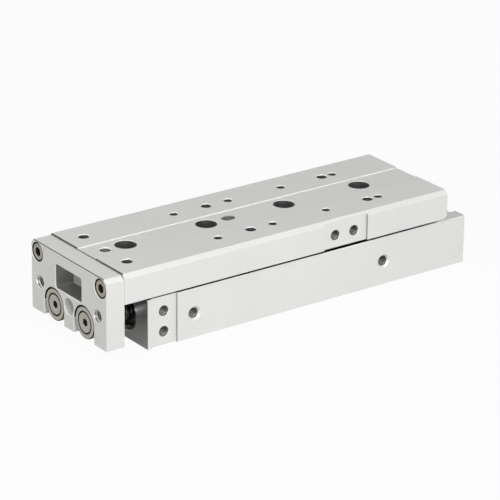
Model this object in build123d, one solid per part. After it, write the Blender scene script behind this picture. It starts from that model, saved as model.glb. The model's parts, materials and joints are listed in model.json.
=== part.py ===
from build123d import *

import os
from math import cos, floor, radians, sin, sqrt

# Twin-rod air slide table, retracted. Millimetres.
# +X is the way the table extends, +Y is the side with the open ports, +Z is up.
# The origin is the centre of the body's bottom face. Left is +Y and right is -Y.

# Body block
body_length = 185.0
body_width = 62.0
body_height = 24.0
body_edge_chamfer = 0.6
body_rear_chamfer = 0.4
body_channel_land = 7.5
body_channel_depth = 2.0

# Table and the space under it
stroke = 100.0
running_gap = 1.3
table_height = 14.2
table_overhang = 0.4
table_rear_setback = 12.0
table_edge_chamfer = 2.0
table_rear_radius = 2.5
table_wall = 8.8
table_ceiling = 6.5
top_groove_width = 15.2
top_groove_depth = 0.5

# End plate
plate_gap = 12.5
plate_thickness = 9.7
plate_bottom_height = 4.7
plate_top_drop = 0.5
window_width = 21.4
window_height = 11.6
window_bottom_height = 21.4
window_corner_radius = 0.8
plate_bore_diameter = 7.8
plate_bore_height = 15.7
plate_tap_edge = 7.0
plate_tap_height = 19.6
plate_screw_edge = 4.8
plate_screw_height = 33.6
plate_relief_width = 0.5
plate_relief_depth = 1.0
joint_slot_diameter = 16.6
joint_slot_depth = 5.0
joint_neck_clearance = 0.5

# Twin cylinder
bore_diameter = 16.0
bore_spacing = 25.0
bore_height = 12.2
gland_seat_diameter = 17.4
gland_seat_depth = 18.5
gland_mouth_chamfer = 0.4
gland_nose_length = 2.4
gland_ring_setback = 4.5
gland_lip = 2.3
gland_dish_depth = 1.15
gland_dish_taper = 0.6
rod_diameter = 8.0
rod_bore_clearance = 0.05
rod_spigot_diameter = 4.4
rod_spigot_length = 8.8
rod_thread_depth = 10.0
rod_end_chamfer = 0.5
piston_land_length = 7.2
piston_hub_diameter = 11.0
piston_front_hub_length = 3.0
piston_rear_hub_length = 2.1
piston_clearance = 0.15
piston_wall = 0.8
seal_width = 2.2
seal_depth = 1.9
seal_lip_wall = 0.6
seal_back_off = 0.2
magnet_width = 2.6
magnet_depth = 2.3
bumper_thickness = 2.6
stop_clearance = 0.1
seal_running_clearance = 0.05
o_ring_section = 1.5
o_ring_side_room = 0.1
cap_wall = 2.4
cap_face = 5.0
circlip_thickness = 1.0
circlip_groove_depth = 0.7
circlip_setback = 1.2
circlip_ring_width = 1.9
circlip_gap_angle = 50.0
circlip_gap_turn = 45.0
circlip_eye_diameter = 2.8
circlip_eye_hole = 1.4
circlip_eye_angle = 9.0

# Air ports
port_height = 11.8
front_port_setback = 25.5
port_passage_diameter = 2.0
port_depth = 7.0
port_chamfer = 1.0
port_land_margin = 0.15
plug_key_depth = 2.3

# Crossed-roller guide
roller_diameter = 3.0
roller_length = 2.8
roller_pitch = 5.2
roller_play = 0.02
rail_gap = 1.8
outer_rail_width = 8.5
guide_rail_chamfer = 0.5
guide_rail_top_clearance = 0.6
outer_rail_bottom_clearance = 3.0
outer_rail_rear_inset = 2.5
outer_rail_front_inset = 12.0
guide_rail_rear_inset = 12.5
guide_rail_front_inset = 2.5
cage_thickness = 1.0
cage_height = 6.6
cage_window_play = 0.15
cage_window_height = 4.4
cage_end_margin = 3.4
cage_stop_clearance = 0.5
stop_plate_thickness = 1.0
stop_plate_gap = 0.3

# Screws: thread, head and key sizes
m5_thread = 5.0
m5_clearance_hole = 5.3
m5_head_diameter = 8.5
m5_head_height = 5.0
m5_key = 4.0
m4_thread = 4.0
m4_clearance_hole = 4.5
m4_head_diameter = 7.0
m4_head_height = 4.0
m4_key = 3.0
m3_thread = 3.0
m3_clearance_hole = 3.4
m3_head_diameter = 5.5
m3_head_height = 3.0
m3_key = 2.5
m2_thread = 2.0
m2_head_diameter = 3.8
m2_head_height = 1.3
m6_thread = 6.0
tap_chamfer = 0.25
thread_clearance = 0.02
head_clearance = 0.4
socket_depth_share = 0.55
head_chamfer_share = 0.08

# Mounting holes
mount_front_setback = 8.8
mount_rear_setback = 41.5
mount_count = 4
mount_hole_diameter = 5.2
mount_counterbore_diameter = 9.5
mount_counterbore_depth = 4.4
access_hole_diameter = 10.3
dowel_diameter = 5.0
dowel_depth = 5.0
dowel_slot_length = 7.0
table_tap_edge = 13.5
table_tap_depth = 5.3
table_tap_chamfer = 0.45
large_tap_front_setback = 10.2
large_tap_rear_setback = 38.3
large_tap_count = 3
small_tap_lead = 18.5
small_tap_trail = 6.3
small_tap_count = 4
side_tap_depth = 6.0

# Milled seats for stop brackets on the left side
seat_depth = 1.1
table_seat_front_setback = 111.7
table_seat_length = 25.3
table_side_tap_pitch = 11.0
table_side_tap_setback = 118.6
table_side_tap_height = 31.4
body_seat_front_setback = 2.3
body_seat_length = 13.9
body_side_tap_setback = 9.4
body_side_tap_low = 6.5
body_side_tap_pitch = 10.1

# Sensor grooves on the right side
sensor_groove_diameter = 4.1
sensor_groove_mouth = 2.9
sensor_groove_depth = 4.5
sensor_groove_low = 5.2
sensor_groove_high = 18.9

# Rail screws
guide_screw_engagement = 7.0
outer_screw_count = 5
outer_screw_lead = 1 / 3
outer_screw_offset = 0.6
outer_screw_engagement = 3.8
stop_screw_depth = 3.0
stop_screw_edge = 1.7
stop_screw_height = 2.5
stop_hole_clearance = 0.3
plate_screw_engagement = 11.5

# Joint between each rod and the end plate
bush_diameter = 15.6
bush_face_drop = 0.5
bush_neck_diameter = 11.4
bush_float = 0.05
bush_recess_diameter = 10.8
bush_recess_depth = 3.4
joint_bolt_head_diameter = 10.2
joint_bolt_key = 3.2
joint_bolt_key_depth = 2.2
joint_bolt_ring_diameter = 5.6
joint_bolt_ring_depth = 0.3
collar_diameter = 14.6
collar_thickness = 2.4

# Places worked out from the sizes above
body_front = body_length / 2
body_rear = -body_length / 2
body_side = body_width / 2
channel_floor = body_height - body_channel_depth
table_bottom = body_height + running_gap
table_top = table_bottom + table_height
table_rear = body_rear + table_rear_setback
table_front = body_front + plate_gap
table_side = body_side + table_overhang
groove_floor = table_top - top_groove_depth
ceiling_height = table_top - table_ceiling
plate_back = table_front
plate_front = plate_back + plate_thickness
plate_top = table_top - plate_top_drop
bore_offset = bore_spacing / 2
bore_radius = bore_diameter / 2
gland_shoulder = body_front - gland_seat_depth
gland_nose_end = gland_shoulder - gland_nose_length
gland_front = body_front - circlip_setback - circlip_thickness - thread_clearance
gland_ring_rear = gland_shoulder + gland_ring_setback
seal_pocket_front = gland_front - gland_lip
seal_pocket_rear = seal_pocket_front - seal_width
front_port = body_front - front_port_setback
piston_land_end = front_port - port_passage_diameter / 2 - port_land_margin
piston_land_front = piston_land_end - stroke
piston_land_rear = piston_land_front - piston_land_length
rear_port = piston_land_rear - port_land_margin - port_passage_diameter / 2
piston_hub_front = piston_land_front + piston_front_hub_length
piston_hub_rear = piston_land_rear - piston_rear_hub_length
piston_screw_seat = piston_hub_front - rod_spigot_length - stop_clearance
cap_front = piston_hub_rear - stop_clearance - bumper_thickness
ring_groove_width = o_ring_section + 2 * o_ring_side_room
cap_ring_rear = cap_front - (cap_face + ring_groove_width) / 2
collar_front = plate_back - 2 * bush_float
rod_front = collar_front - collar_thickness
bush_front = plate_front - bush_face_drop
bush_shoulder = plate_front - joint_slot_depth + bush_float
outer_rail_outer = table_side - table_wall
outer_rail_inner = outer_rail_outer - outer_rail_width
guide_rail_top = ceiling_height - guide_rail_top_clearance
guide_rail_side = outer_rail_inner - rail_gap
guide_rail_rear = body_rear + guide_rail_rear_inset
guide_rail_front = body_front - guide_rail_front_inset
raceway_offset = guide_rail_side + rail_gap / 2
outer_rail_bottom = channel_floor + outer_rail_bottom_clearance
outer_rail_rear = table_rear + outer_rail_rear_inset
outer_rail_front = table_front - outer_rail_front_inset
raceway_height = (ceiling_height + outer_rail_bottom) / 2
raceway_half_diagonal = (roller_diameter / 2 + roller_play) * sqrt(2)
cage_rear = outer_rail_rear + stroke / 2 + cage_stop_clearance
cage_front = guide_rail_front - stroke / 2 - cage_stop_clearance
mount_pitch = (body_length - mount_front_setback - mount_rear_setback) / (mount_count - 1)
mount_places = [body_front - mount_front_setback - i * mount_pitch for i in range(mount_count)]
large_tap_rear = table_rear + large_tap_rear_setback
large_tap_pitch = (table_front - large_tap_front_setback - large_tap_rear) / (large_tap_count - 1)
large_tap_places = [table_front - large_tap_front_setback - i * large_tap_pitch for i in range(large_tap_count)]
small_tap_front = large_tap_places[1] + small_tap_lead
small_tap_pitch = (small_tap_front - large_tap_rear + small_tap_trail) / (small_tap_count - 1)
small_tap_places = [small_tap_front - i * small_tap_pitch for i in range(small_tap_count)]
table_tap_line = table_side - table_tap_edge
guide_screw_places = [x - mount_pitch / 2 for x in mount_places]
outer_screw_places = [large_tap_places[0] - large_tap_pitch * (outer_screw_lead + i / 2)
                      for i in range(outer_screw_count)]
outer_screw_line = (outer_rail_inner + outer_rail_outer) / 2 + outer_screw_offset
table_side_taps = [table_front - table_side_tap_setback - i * table_side_tap_pitch for i in range(2)]
plate_tap_line = body_side - plate_tap_edge
plate_screw_line = body_side - plate_screw_edge
body_side_taps = [body_side_tap_low + i * body_side_tap_pitch for i in range(2)]
side_signs = {"left": 1, "right": -1}
low_corner = (Align.MIN, Align.MIN, Align.MIN)
base_centre = (Align.CENTER, Align.CENTER, Align.MIN)
parts = {}


def block(x_range, y_range, z_range):
    """A box between two places along each axis."""
    size = [high - low for low, high in (x_range, y_range, z_range)]
    return Pos(x_range[0], y_range[0], z_range[0]) * Box(*size, align=low_corner)


def bar_x(diameter, x_start, x_end, y=0.0, z=0.0):
    """A round bar along X."""
    bar = Cylinder(diameter / 2, x_end - x_start, align=base_centre)
    return Pos(x_start, y, z) * Rot(0, 90, 0) * bar


def bar_y(diameter, y_start, y_end, x=0.0, z=0.0):
    """A round bar along Y."""
    bar = Cylinder(diameter / 2, y_end - y_start, align=base_centre)
    return Pos(x, y_start, z) * Rot(-90, 0, 0) * bar


def bar_z(diameter, z_start, z_end, x=0.0, y=0.0):
    """A round bar along Z."""
    return Pos(x, y, z_start) * Cylinder(diameter / 2, z_end - z_start, align=base_centre)


def turned(profile, y=0.0, z=0.0):
    """A turned piece: a closed outline of (x, radius) points spun about an axis along X."""
    outline = Polyline(*[(x, 0, radius) for x, radius in profile], close=True)
    return Pos(0, y, z) * revolve(make_face(outline), axis=Axis.X)


def section(points, x_start, x_end):
    """A bar along X whose outline is given as (y, z) points."""
    outline = Polyline(*[(x_start, y, z) for y, z in points], close=True)
    return extrude(make_face(outline), amount=x_end - x_start, dir=(1, 0, 0))


def tapped_hole(diameter, depth, chamfer):
    """The cut for a blind tapped hole, its mouth at the origin and its depth along -Z."""
    mouth = Cone(diameter / 2, diameter / 2 + chamfer, chamfer, align=(Align.CENTER, Align.CENTER, Align.MAX))
    return Cylinder(diameter / 2, depth, align=(Align.CENTER, Align.CENTER, Align.MAX)) + mouth


def slot_cut(width, length, depth):
    """The cut for a round-ended slot along X, its mouth at the origin and its depth along -Z."""
    reach = (length - width) / 2
    ends = [Pos(x, 0, -depth) * Cylinder(width / 2, depth, align=base_centre) for x in (-reach, reach)]
    middle = Pos(0, 0, -depth) * Box(2 * reach, width, depth, align=base_centre)
    return ends[0] + ends[1] + middle


def hex_socket(key, depth):
    """The cut for a hexagon key, its mouth at the origin and its depth along -Z."""
    outline = RegularPolygon(radius=key / sqrt(3), side_count=6)
    return extrude(outline, amount=-depth)


def cap_screw(thread, length, head_diameter, head_height, key):
    """A socket head screw along Z: the head's seat at the origin, the head up and the thread down."""
    head = Cylinder(head_diameter / 2, head_height, align=base_centre)
    head = chamfer(head.edges().sort_by(Axis.Z)[-1], head_height * head_chamfer_share)
    shank = Cylinder(thread / 2 - thread_clearance, length, align=(Align.CENTER, Align.CENTER, Align.MAX))
    return head + shank - Pos(0, 0, head_height) * hex_socket(key, head_height * socket_depth_share)


def mirrored(half):
    """A whole outline from its left half, given as (y, z) points."""
    return half + [(-y, z) for y, z in reversed(half)]


def body_outline():
    """The body's section: a block with a wide shallow channel along its top."""
    half_channel = body_side - body_channel_land
    edge = body_edge_chamfer
    return mirrored([(half_channel, channel_floor), (half_channel, body_height), (body_side - edge, body_height),
                     (body_side, body_height - edge), (body_side, 0)])


def cylinder_cuts(y):
    """The bore, gland seat and clip grooves of one cylinder."""
    bore = bar_x(bore_diameter, body_rear, body_front, y, bore_height)
    seat = bar_x(gland_seat_diameter, gland_shoulder, body_front, y, bore_height)
    mouth = turned([(body_front - gland_mouth_chamfer, 0),
                    (body_front - gland_mouth_chamfer, gland_seat_diameter / 2),
                    (body_front, gland_seat_diameter / 2 + gland_mouth_chamfer), (body_front, 0)], y, bore_height)
    front_groove = bar_x(gland_seat_diameter + 2 * circlip_groove_depth,
                         body_front - circlip_setback - circlip_thickness - thread_clearance,
                         body_front - circlip_setback, y, bore_height)
    rear_groove = bar_x(bore_diameter + 2 * circlip_groove_depth, body_rear + circlip_setback,
                        body_rear + circlip_setback + circlip_thickness + thread_clearance, y, bore_height)
    return bore + seat + mouth + front_groove + rear_groove


def sensor_groove(z):
    """A round groove with a narrower mouth, for a position sensor, along the body's right side."""
    centre = -body_side + sensor_groove_depth - sensor_groove_diameter / 2
    round_part = bar_x(sensor_groove_diameter, body_rear, body_front, centre, z)
    half_mouth = sensor_groove_mouth / 2
    return round_part + block((body_rear, body_front), (-body_side, centre), (z - half_mouth, z + half_mouth))


def make_body():
    """The cylinder body: bores, ports, guide seat, mounting holes, side seat and sensor grooves."""
    body = section(body_outline(), body_rear, body_front)
    rear_corners = body.edges().filter_by(Axis.Z).group_by(Axis.X)[0]
    rear_corners = [edge for edge in rear_corners if abs(edge.center().Y) > body_side - body_edge_chamfer / 2]
    body = chamfer(rear_corners, body_rear_chamfer)
    for sign in side_signs.values():
        body -= cylinder_cuts(sign * bore_offset)
    for x in (front_port, rear_port):
        body -= bar_y(port_passage_diameter, -body_side, body_side, x, port_height)
        port = tapped_hole(m5_thread, port_depth, port_chamfer)
        body -= Pos(x, body_side, port_height) * Rot(-90, 0, 0) * port
        body -= Pos(x, -body_side, port_height) * Rot(90, 0, 0) * port
    for x in mount_places:
        body -= bar_z(mount_hole_diameter, 0, channel_floor, x)
        body -= bar_z(mount_counterbore_diameter, channel_floor - mount_counterbore_depth, channel_floor, x)
    for x in guide_screw_places:
        body -= bar_z(m4_thread, channel_floor - guide_screw_engagement - 2 * tap_chamfer, channel_floor, x)
    dowel_place = (mount_places[0] + mount_places[1]) / 2
    slot_place = (mount_places[-2] + mount_places[-1]) / 2
    body -= bar_z(dowel_diameter, 0, dowel_depth, dowel_place)
    body -= Pos(slot_place, 0, 0) * Rot(180, 0, 0) * slot_cut(dowel_diameter, dowel_slot_length, dowel_depth)
    seat_wall = body_side - seat_depth
    seat_front = body_front - body_seat_front_setback
    body -= block((seat_front - body_seat_length, seat_front), (seat_wall, body_side), (0, body_height))
    for z in body_side_taps:
        cut = Rot(-90, 0, 0) * tapped_hole(m5_thread, side_tap_depth, tap_chamfer)
        body -= Pos(body_front - body_side_tap_setback, seat_wall, z) * cut
    for z in (sensor_groove_low, sensor_groove_high):
        body -= sensor_groove(z)
    return body


def table_outline():
    """The table's section: a downward channel with chamfered top edges and a shallow top groove."""
    half_groove = top_groove_width / 2
    edge = table_edge_chamfer
    return mirrored([(half_groove, groove_floor), (half_groove, table_top), (table_side - edge, table_top),
                     (table_side, table_top - edge), (table_side, table_bottom), (outer_rail_outer, table_bottom),
                     (outer_rail_outer, ceiling_height)])


def make_table():
    """The sliding table with its tapped holes, dowel holes, access holes and side seat."""
    table = section(table_outline(), table_rear, table_front)
    rear_edges = table.edges().filter_by(Axis.Y).group_by(Axis.X)[0]
    rear_bottom = [edge for edge in rear_edges if edge.center().Z < table_bottom + tap_chamfer]
    table = fillet(rear_bottom, table_rear_radius)
    for y in (-table_tap_line, table_tap_line):
        for x in large_tap_places:
            table -= Pos(x, y, table_top) * tapped_hole(m5_thread, table_tap_depth, table_tap_chamfer)
        for x in small_tap_places:
            table -= Pos(x, y, table_top) * tapped_hole(m4_thread, table_tap_depth, table_tap_chamfer)
    for x in mount_places:
        table -= Pos(x, 0, groove_floor) * tapped_hole(access_hole_diameter, table_ceiling, tap_chamfer)
    table -= Pos(large_tap_places[0], 0, groove_floor) * tapped_hole(dowel_diameter, dowel_depth, table_tap_chamfer)
    slot = slot_cut(dowel_diameter, dowel_slot_length, dowel_depth)
    table -= Pos(large_tap_places[1], 0, groove_floor) * slot
    seat_front = table_front - table_seat_front_setback
    seat_wall = table_side - seat_depth
    table -= block((seat_front - table_seat_length, seat_front), (seat_wall, table_side), (table_bottom, table_top))
    for x in table_side_taps:
        cut = Rot(-90, 0, 0) * tapped_hole(m5_thread, side_tap_depth, tap_chamfer)
        table -= Pos(x, seat_wall, table_side_tap_height) * cut
    for y in (-plate_screw_line, plate_screw_line):
        table -= bar_x(m5_thread, table_front - plate_screw_engagement - 2 * tap_chamfer, table_front, y,
                       plate_screw_height)
    for sign in side_signs.values():
        for x in outer_screw_places:
            table -= bar_z(m3_thread, ceiling_height, ceiling_height + outer_screw_engagement + tap_chamfer, x,
                           sign * outer_screw_line)
    return table


def joint_slot(y):
    """The cut for a rod joint: wide at the front for the bush, narrow behind it, and open below."""
    neck_diameter = bush_neck_diameter + 2 * joint_neck_clearance
    cut = bar_x(neck_diameter, plate_back, plate_front, y, bore_height)
    cut += block((plate_back, plate_front), (y - neck_diameter / 2, y + neck_diameter / 2),
                 (plate_bottom_height, bore_height))
    shoulder = plate_front - joint_slot_depth
    cut += bar_x(joint_slot_diameter, shoulder, plate_front, y, bore_height)
    return cut + block((shoulder, plate_front), (y - joint_slot_diameter / 2, y + joint_slot_diameter / 2),
                       (plate_bottom_height, bore_height))


def make_end_plate():
    """The end plate with its window, centring bore, tapped holes, screw seats and rod joint slots."""
    edge = table_edge_chamfer
    side = [(body_side, plate_bottom_height), (body_side, plate_top - edge)]
    plate = section(mirrored(side + [(body_side - edge, plate_top)]), plate_back, plate_front)
    relief_end = plate_back + plate_relief_width
    relief = section(mirrored(side + [(body_side - edge, plate_top)]), plate_back, relief_end)
    relief -= section(mirrored(side + [(body_side - edge, plate_top - plate_relief_depth)]), plate_back, relief_end)
    plate -= relief
    window = block((plate_back, plate_front), (-window_width / 2, window_width / 2),
                   (window_bottom_height, window_bottom_height + window_height))
    plate -= fillet(window.edges().filter_by(Axis.X), window_corner_radius)
    plate -= bar_x(plate_bore_diameter, plate_back, plate_front, 0, plate_bore_height)
    for sign in side_signs.values():
        plate -= joint_slot(sign * bore_offset)
        tap = Rot(0, 90, 0) * tapped_hole(m6_thread, plate_thickness, tap_chamfer)
        plate -= Pos(plate_front, sign * plate_tap_line, plate_tap_height) * tap
        y = sign * plate_screw_line
        plate -= bar_x(m5_clearance_hole, plate_back, plate_front, y, plate_screw_height)
        seat = tapped_hole(m5_head_diameter + 2 * head_clearance, m5_head_height + head_clearance, tap_chamfer)
        plate -= Pos(plate_front, y, plate_screw_height) * Rot(0, 90, 0) * seat
    return plate


def groove_section(face, apex):
    """The V of a roller raceway: its two mouth corners on the rail's face and its apex between them."""
    reach = abs(apex - face)
    return [(face, raceway_height - reach), (apex, raceway_height), (face, raceway_height + reach)]


def make_guide_rail():
    """The inner rail: a hardened bar with a raceway along each side and holes down to the body."""
    edge = guide_rail_chamfer
    raceway = groove_section(guide_rail_side, raceway_offset - raceway_half_diagonal)
    half = [(guide_rail_side, channel_floor)] + raceway
    half += [(guide_rail_side, guide_rail_top - edge), (guide_rail_side - edge, guide_rail_top)]
    rail = section(mirrored(half), guide_rail_rear, guide_rail_front)
    for x in mount_places:
        rail -= bar_z(access_hole_diameter, channel_floor, guide_rail_top, x)
    head_room = m4_head_height + head_clearance
    for x in guide_screw_places:
        rail -= bar_z(m4_clearance_hole, channel_floor, guide_rail_top, x)
        rail -= bar_z(m4_head_diameter + 2 * head_clearance, guide_rail_top - head_room, guide_rail_top, x)
    for y, z in stop_screw_points_front():
        rail -= bar_x(m2_thread, guide_rail_front - stop_screw_depth, guide_rail_front, y, z)
    return rail


def make_outer_rail(sign):
    """One outer rail: a hardened bar seated in the table's corner, with its raceway facing inwards."""
    raceway = groove_section(outer_rail_inner, raceway_offset + raceway_half_diagonal)
    edge = guide_rail_chamfer
    outline = [(outer_rail_inner, outer_rail_bottom)] + raceway
    outline += [(outer_rail_inner, ceiling_height), (outer_rail_outer, ceiling_height),
                (outer_rail_outer, outer_rail_bottom + edge), (outer_rail_outer - edge, outer_rail_bottom)]
    rail = section([(sign * y, z) for y, z in outline], outer_rail_rear, outer_rail_front)
    head_room = m3_head_height + head_clearance
    for x in outer_screw_places:
        y = sign * outer_screw_line
        rail -= bar_z(m3_clearance_hole, outer_rail_bottom, ceiling_height, x, y)
        rail -= bar_z(m3_head_diameter + head_clearance, outer_rail_bottom, outer_rail_bottom + head_room, x, y)
    for y, z in stop_screw_points_rear(sign):
        rail -= bar_x(m2_thread, outer_rail_rear, outer_rail_rear + stop_screw_depth, y, z)
    return rail


def stop_screw_points_front():
    """Where the two screws of the front cage stop enter the guide rail's end."""
    line = guide_rail_side - stop_screw_edge
    return [(sign * line, channel_floor + stop_screw_height) for sign in side_signs.values()]


def stop_screw_points_rear(sign):
    """Where the screw of one rear cage stop enters the outer rail's end."""
    return [(sign * outer_screw_line, raceway_height)]


def roller_places():
    """Where each roller's axis crosses the raceway, evenly spaced about the cage's middle."""
    count = floor((cage_front - cage_rear - 2 * cage_end_margin) / roller_pitch) + 1
    middle = (cage_front + cage_rear) / 2
    return [middle + (i - (count - 1) / 2) * roller_pitch for i in range(count)]


def make_cage(sign):
    """One roller cage: a thin strip with a window for each roller."""
    y_inner = sign * raceway_offset - cage_thickness / 2
    y_range = (y_inner, y_inner + cage_thickness)
    cage = block((cage_rear, cage_front), y_range,
                 (raceway_height - cage_height / 2, raceway_height + cage_height / 2))
    half_window = roller_diameter / 2 + cage_window_play
    for x in roller_places():
        cage -= block((x - half_window, x + half_window), y_range,
                      (raceway_height - cage_window_height / 2, raceway_height + cage_window_height / 2))
    return cage


def make_rollers(sign):
    """One row of rollers, each crossed at a right angle to its neighbours."""
    rollers = []
    for i, x in enumerate(roller_places()):
        tilt = 45 if i % 2 == 0 else -45
        roller = Cylinder(roller_diameter / 2, roller_length)
        rollers.append(Pos(x, sign * raceway_offset, raceway_height) * Rot(tilt, 0, 0) * roller)
    return Compound(children=rollers)


def make_front_stop():
    """The plate on the guide rail's front end that keeps both cages in."""
    half_width = outer_rail_inner - stop_plate_gap
    plate = block((guide_rail_front, guide_rail_front + stop_plate_thickness), (-half_width, half_width),
                  (channel_floor + stop_plate_gap, guide_rail_top))
    for y, z in stop_screw_points_front():
        plate -= bar_x(m2_thread + stop_hole_clearance, guide_rail_front, guide_rail_front + stop_plate_thickness, y, z)
    return plate


def make_rear_stop(sign):
    """The plate on one outer rail's rear end that keeps a cage in."""
    inner = guide_rail_side + stop_plate_gap
    outer = outer_rail_outer - stop_plate_gap
    y_range = (inner, outer) if sign > 0 else (-outer, -inner)
    plate = block((outer_rail_rear - stop_plate_thickness, outer_rail_rear), y_range,
                  (outer_rail_bottom, ceiling_height - stop_plate_gap))
    for y, z in stop_screw_points_rear(sign):
        plate -= bar_x(m2_thread + stop_hole_clearance, outer_rail_rear - stop_plate_thickness, outer_rail_rear, y, z)
    return plate


def stop_screw(seat, y, z, direction):
    """A small pan head screw through a stop plate, its head on the side that direction points to."""
    head = m2_head_diameter / 2
    shank = m2_thread / 2 - thread_clearance
    tip = -(stop_plate_thickness + stop_screw_depth - tap_chamfer)
    profile = [(m2_head_height, 0), (m2_head_height, head), (0, head), (0, shank), (tip, shank), (tip, 0)]
    return turned([(seat + direction * x, radius) for x, radius in profile], y, z)


def make_rod(sign):
    """One piston rod: threaded at the front for the joint bolt, with a spigot into the piston."""
    radius = rod_diameter / 2
    spigot = rod_spigot_diameter / 2
    rod_shoulder = piston_hub_front
    profile = [(rod_shoulder - rod_spigot_length, 0), (rod_shoulder - rod_spigot_length, spigot),
               (rod_shoulder, spigot), (rod_shoulder, radius), (rod_front - rod_end_chamfer, radius),
               (rod_front, radius - rod_end_chamfer), (rod_front, 0)]
    y = sign * bore_offset
    rod = turned(profile, y, bore_height)
    rod -= bar_x(m5_thread, rod_front - rod_thread_depth, rod_front, y, bore_height)
    rod -= bar_x(m3_thread, rod_shoulder - rod_spigot_length, rod_shoulder + spigot, y, bore_height)
    return rod


def piston_grooves():
    """The rear and front ends of the seal groove and of the magnet groove."""
    seal_rear = piston_land_rear + piston_wall
    magnet_front = piston_land_front - piston_wall
    return (seal_rear, seal_rear + seal_width), (magnet_front - magnet_width, magnet_front)


def make_piston(sign):
    """One piston: a land with grooves for its seal and magnet, between two hubs."""
    land = bore_radius - piston_clearance
    hub = piston_hub_diameter / 2
    seal, magnet = piston_grooves()
    seal_floor = bore_radius - seal_depth
    magnet_floor = bore_radius - magnet_depth
    spigot = rod_spigot_diameter / 2 + thread_clearance
    head = m3_head_diameter / 2 + thread_clearance
    profile = [(piston_hub_rear, head), (piston_hub_rear, hub), (piston_land_rear, hub), (piston_land_rear, land),
               (seal[0], land), (seal[0], seal_floor), (seal[1], seal_floor), (seal[1], land), (magnet[0], land),
               (magnet[0], magnet_floor), (magnet[1], magnet_floor), (magnet[1], land), (piston_land_front, land),
               (piston_land_front, hub), (piston_hub_front, hub), (piston_hub_front, spigot),
               (piston_screw_seat, spigot), (piston_screw_seat, head)]
    return turned(profile, sign * bore_offset, bore_height)


def make_ring(x_start, x_end, inner, outer, sign):
    """A plain ring round one cylinder's axis, from an inner to an outer radius."""
    profile = [(x_start, inner), (x_start, outer), (x_end, outer), (x_end, inner)]
    return turned(profile, sign * bore_offset, bore_height)


def make_rod_seal(sign):
    """The U-shaped lip seal round one rod, with its lips open towards the pressure, at its rear end."""
    inner = rod_diameter / 2 + seal_running_clearance
    outer = rod_diameter / 2 + seal_depth
    middle = (seal_pocket_rear + seal_pocket_front) / 2
    profile = [(seal_pocket_rear, inner), (seal_pocket_rear, inner + seal_lip_wall), (middle, (inner + outer) / 2),
               (seal_pocket_rear, outer - seal_lip_wall), (seal_pocket_rear, outer), (seal_pocket_front, outer),
               (seal_pocket_front, inner + seal_back_off), (middle, inner + seal_back_off)]
    return turned(profile, sign * bore_offset, bore_height)


def make_piston_screw(sign):
    """The screw that holds one piston on its rod, its head towards the rear."""
    reach = piston_screw_seat - piston_hub_rear - stop_clearance
    screw = cap_screw(m3_thread, rod_spigot_length, m3_head_diameter, min(m3_head_height, reach), m3_key)
    return Pos(piston_screw_seat, sign * bore_offset, bore_height) * Rot(0, -90, 0) * screw


def make_gland(sign):
    """One rod gland: guides the rod, with an outer ring groove and an inner seal pocket."""
    outer = gland_seat_diameter / 2 - thread_clearance
    nose = bore_radius - thread_clearance
    groove_radius = gland_seat_diameter / 2 - o_ring_section - thread_clearance
    rod_bore = rod_diameter / 2 + rod_bore_clearance
    ring_front = gland_ring_rear + ring_groove_width
    dish_floor = gland_front - gland_dish_depth
    dish_radius = outer - circlip_ring_width
    pocket_radius = rod_diameter / 2 + seal_depth
    profile = [(gland_nose_end, rod_bore), (gland_nose_end, nose), (gland_shoulder, nose), (gland_shoulder, outer),
               (gland_ring_rear, outer), (gland_ring_rear, groove_radius), (ring_front, groove_radius),
               (ring_front, outer), (gland_front, outer), (gland_front, dish_radius),
               (dish_floor, dish_radius - gland_dish_taper), (dish_floor, rod_bore), (seal_pocket_front, rod_bore),
               (seal_pocket_front, pocket_radius), (seal_pocket_rear, pocket_radius), (seal_pocket_rear, rod_bore)]
    return turned(profile, sign * bore_offset, bore_height)


def make_o_ring(groove_rear, seat_radius, sign):
    """An O-ring in a groove, its outside just inside the seat that it seals against."""
    radius = o_ring_section / 2
    centre = Pos(groove_rear + radius + o_ring_side_room, 0, seat_radius - thread_clearance - radius)
    ring = revolve(centre * Rot(90, 0, 0) * Circle(radius), axis=Axis.X)
    return Pos(0, sign * bore_offset, bore_height) * ring


def make_circlip(x_start, seat_radius, sign):
    """An internal circlip: a spring ring with an eye on each side of its gap, which faces down and out."""
    outer = seat_radius + circlip_groove_depth - thread_clearance
    inner = outer - circlip_ring_width
    x_end = x_start + circlip_thickness
    y = sign * bore_offset
    gap_middle = sign * radians(circlip_gap_turn)
    half_gap = radians(circlip_gap_angle / 2)

    def at(distance, angle):
        """The point at a distance from the cylinder's axis, at an angle from straight down."""
        return y + distance * sin(angle), bore_height - distance * cos(angle)

    ring = make_ring(x_start, x_end, inner, outer, sign)
    ring -= section([(y, bore_height), at(2 * outer, gap_middle - half_gap), at(2 * outer, gap_middle + half_gap)],
                    x_start, x_end)
    eye_distance = outer - circlip_eye_diameter / 2 - thread_clearance
    eye_angle = half_gap + radians(circlip_eye_angle)
    eyes = [at(eye_distance, gap_middle + side * eye_angle) for side in (-1, 1)]
    for eye_y, eye_z in eyes:
        ring += bar_x(circlip_eye_diameter, x_start, x_end, eye_y, eye_z)
    for eye_y, eye_z in eyes:
        ring -= bar_x(circlip_eye_hole, x_start, x_end, eye_y, eye_z)
    return ring


def make_head_cap(sign):
    """One moulded head cap: a hollow plug with a ring groove that closes the bore behind the piston."""
    rear = body_rear + circlip_setback + circlip_thickness + thread_clearance
    outer = bore_radius - thread_clearance
    inner = outer - cap_wall
    ring_front = cap_ring_rear + ring_groove_width
    groove_radius = bore_radius - o_ring_section - thread_clearance
    profile = [(rear, inner), (rear, outer), (cap_ring_rear, outer), (cap_ring_rear, groove_radius),
               (ring_front, groove_radius), (ring_front, outer), (cap_front, outer), (cap_front, 0),
               (cap_front - cap_face, 0), (cap_front - cap_face, inner)]
    return turned(profile, sign * bore_offset, bore_height)


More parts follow.
